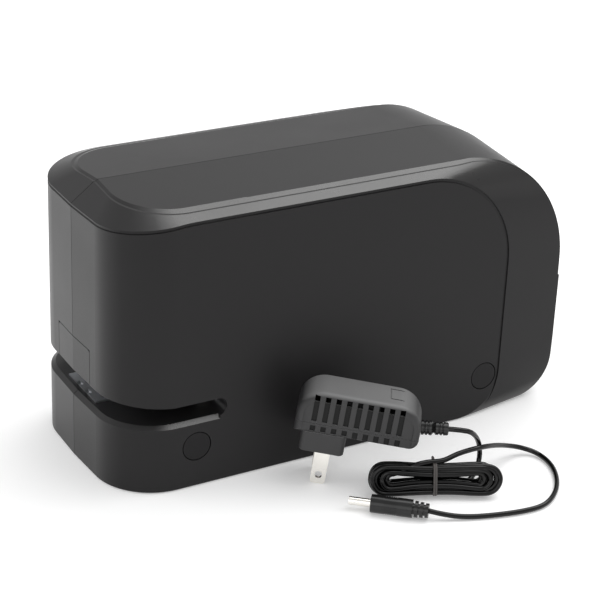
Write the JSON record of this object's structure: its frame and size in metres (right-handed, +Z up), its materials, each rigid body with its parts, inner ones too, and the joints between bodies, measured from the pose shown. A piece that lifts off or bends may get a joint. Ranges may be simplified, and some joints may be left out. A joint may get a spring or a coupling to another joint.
{
  "type": "electric stapler",
  "caption": "Desktop electric stapler in a two-shell casing with a paper throat, staple drawer, cam-driven ram and geared motor, with its plug-in power adapter, bundled cord and barrel plug.",
  "frame": {"origin": "on the desk, under the middle of the stapler's casing (its power adapter and cord are not counted)", "axes": "+Z up, -Y towards the front face where the paper goes in, +X towards the side panel with the two screw covers"},
  "size_m": [0.1719, 0.22, 0.1245],
  "materials": {
    "shell_black": "satin black moulded plastic",
    "cap_black": "satin black moulded plastic",
    "screw_steel": "zinc-plated",
    "foot_rubber": "matte",
    "bright_steel": "smooth",
    "galvanised_steel": "galvanised sheet",
    "staple_steel": "bright wire",
    "white_nylon": "natural nylon",
    "button_black": "satin",
    "brass_bush": "sintered",
    "motor_steel": "plated can",
    "board_green": "solder mask",
    "part_black": "component bodies",
    "adapter_black": "satin black moulded plastic",
    "blade_nickel": "nickel-plated",
    "cord_pvc": "glossy black PVC",
    "plug_black": "glossy black PVC",
    "barrel_nickel": "nickel-plated"
  },
  "bodies": {
    "housing": {"right_shell": "shell_black", "left_shell": "shell_black", "screw_covers": "cap_black", "case_screws": "screw_steel", "rubber_feet": "foot_rubber", "anvil": "bright_steel", "nose_plate": "bright_steel", "magazine_guide": "galvanised_steel", "driver_guide_plate": "galvanised_steel", "ram_guides": "white_nylon", "arm_return_spring": "bright_steel", "pivot_pins": "bright_steel", "cam_bushes": "brass_bush", "gear_axles": "bright_steel", "motor_can": "motor_steel", "left_frame_plate": "galvanised_steel", "right_frame_plate": "galvanised_steel", "gearbox_plate": "galvanised_steel", "frame_spacers": "bright_steel", "gearbox_standoffs": "bright_steel", "circuit_board": "board_green", "board_components": "part_black", "paper_switch": "part_black", "home_switch": "part_black", "dc_jack": "part_black", "adapter_upper": "adapter_black", "adapter_lower": "adapter_black", "adapter_blades": "blade_nickel", "adapter_board": "board_green", "adapter_strain_relief": "cord_pvc", "cord_from_adapter": "cord_pvc", "cord_hank": "cord_pvc", "cord_tie": "part_black", "cord_to_plug": "cord_pvc", "dc_plug_grip": "plug_black", "dc_plug_barrel": "barrel_nickel"},
    "drawer": {"magazine_front": "shell_black", "magazine_channel": "galvanised_steel", "pusher_rod": "bright_steel", "pusher_spring": "bright_steel", "staple_strip": "staple_steel"},
    "pusher": {"staple_pusher": "white_nylon"},
    "latch": {"magazine_latch": "white_nylon"},
    "release": {"release_button": "button_black", "release_rod": "bright_steel"},
    "ram": {"driver_blade": "bright_steel", "ram_carrier": "white_nylon", "ram_pin": "bright_steel"},
    "arm": {"hammer_arm": "galvanised_steel", "roller_axle": "bright_steel"},
    "roller": {"arm_roller": "bright_steel"},
    "cam_drive": {"cam": "bright_steel", "cam_shaft": "bright_steel", "cam_gear": "white_nylon"},
    "second_wheel": {"second_gear": "white_nylon"},
    "first_wheel": {"first_gear": "white_nylon"},
    "rotor": {"motor_shaft": "bright_steel", "motor_pinion": "brass_bush"},
    "trigger": {"paper_trigger": "white_nylon"}
  },
  "joints": [
    {"name": "cam_turn", "type": "hinge", "parent": "housing", "child": "cam_drive", "pos_m": [0, -0.03, 0.0988], "axis": [1, 0, 0], "range_deg": [-300, 0]},
    {"name": "arm_swing", "type": "hinge", "parent": "housing", "child": "arm", "pos_m": [0, 0.015, 0.0608], "axis": [1, 0, 0], "range_deg": [0, 9.43], "deforming": ["arm_return_spring"]},
    {"name": "ram_drive", "type": "slide", "parent": "housing", "child": "ram", "axis": [0, 0, 1], "range_m": [-0.0186, 0]},
    {"name": "second_wheel_turn", "type": "hinge", "parent": "housing", "child": "second_wheel", "pos_m": [0, -0.00609, 0.09671], "axis": [1, 0, 0], "range_deg": [0, 1200]},
    {"name": "first_wheel_turn", "type": "hinge", "parent": "housing", "child": "first_wheel", "pos_m": [0, 0.01223, 0.09348], "axis": [1, 0, 0], "range_deg": [-5000, 0]},
    {"name": "motor_turn", "type": "hinge", "parent": "housing", "child": "rotor", "pos_m": [0, 0.02857, 0.09118], "axis": [1, 0, 0], "range_deg": [0, 22500]},
    {"name": "roller_turn", "type": "hinge", "parent": "arm", "child": "roller", "pos_m": [0, -0.03, 0.0788], "axis": [1, 0, 0], "continuous": true},
    {"name": "drawer_slide", "type": "slide", "parent": "housing", "child": "drawer", "axis": [0, -1, 0], "range_m": [0, 0.06]},
    {"name": "pusher_slide", "type": "slide", "parent": "drawer", "child": "pusher", "axis": [0, 1, 0], "range_m": [0, 0.03], "stiffness_N_per_m": 60, "springref_m": -0.02, "deforming": ["pusher_spring"]},
    {"name": "release_press", "type": "slide", "parent": "housing", "child": "release", "axis": [0, 1, 0], "range_m": [0, 0.002]},
    {"name": "latch_swing", "type": "hinge", "parent": "housing", "child": "latch", "pos_m": [0, 0.03, 0.0588], "axis": [1, 0, 0], "range_deg": [0, 9.6]},
    {"name": "paper_trigger_swing", "type": "hinge", "parent": "housing", "child": "trigger", "pos_m": [0.026, -0.0545, 0.0465], "axis": [1, 0, 0], "range_deg": [0, 18], "stiffness_Nm_per_rad": 0.01, "springref_deg": -2.86}
  ],
  "couplings": [
    {"joint": "arm_swing", "follows": "cam_turn", "ratio": -0.031437},
    {"joint": "ram_drive", "follows": "cam_turn", "m_per_rad": 0.0035523},
    {"joint": "second_wheel_turn", "follows": "cam_turn", "ratio": -4},
    {"joint": "first_wheel_turn", "follows": "cam_turn", "ratio": 16.667},
    {"joint": "motor_turn", "follows": "cam_turn", "ratio": -75},
    {"joint": "latch_swing", "follows": "release_press", "rad_per_m": 83.333}
  ]
}
